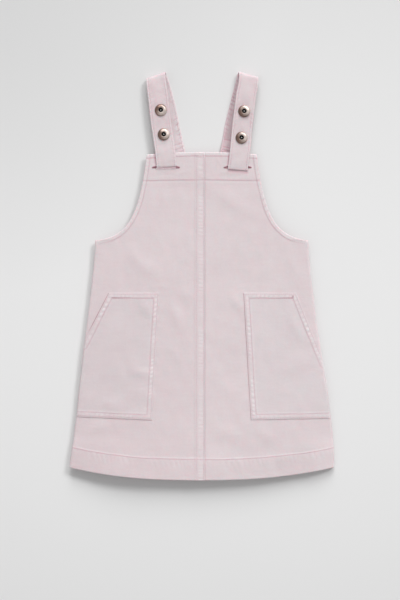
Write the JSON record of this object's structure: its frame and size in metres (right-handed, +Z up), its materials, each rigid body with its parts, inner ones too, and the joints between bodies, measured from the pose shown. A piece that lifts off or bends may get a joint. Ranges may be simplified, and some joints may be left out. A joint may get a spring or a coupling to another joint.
{
  "type": "pinafore dress",
  "caption": "Child's A-line pinafore dress in pale cotton twill, laid flat, with a square bib, slanted patch pockets and straps looped through buttonholes and snapped back on themselves.",
  "frame": {"origin": "under the middle of the laid dress, on the surface it lies on", "axes": "+Z up off the surface, out of the dress's front; +Y from the hem to the straps; +X to the right of someone looking down at the front"},
  "size_m": [0.3716, 0.5724, 0.0166],
  "materials": {
    "twill": "matt washed cotton twill",
    "snap_metal": "polished warm nickel"
  },
  "bodies": {
    "root": {"back": "twill", "front_left": "twill", "front_right": "twill", "pocket_left": "twill", "pocket_right": "twill", "strap_left": "twill", "strap_right": "twill", "snap_cap_left_upper": "snap_metal", "snap_cap_left_lower": "snap_metal", "snap_cap_right_upper": "snap_metal", "snap_cap_right_lower": "snap_metal", "snap_socket_left_upper": "snap_metal", "snap_socket_left_lower": "snap_metal", "snap_socket_right_upper": "snap_metal", "snap_socket_right_lower": "snap_metal", "snap_stud_left_upper": "snap_metal", "snap_stud_left_lower": "snap_metal", "snap_stud_right_upper": "snap_metal", "snap_stud_right_lower": "snap_metal"}
  },
  "joints": []
}
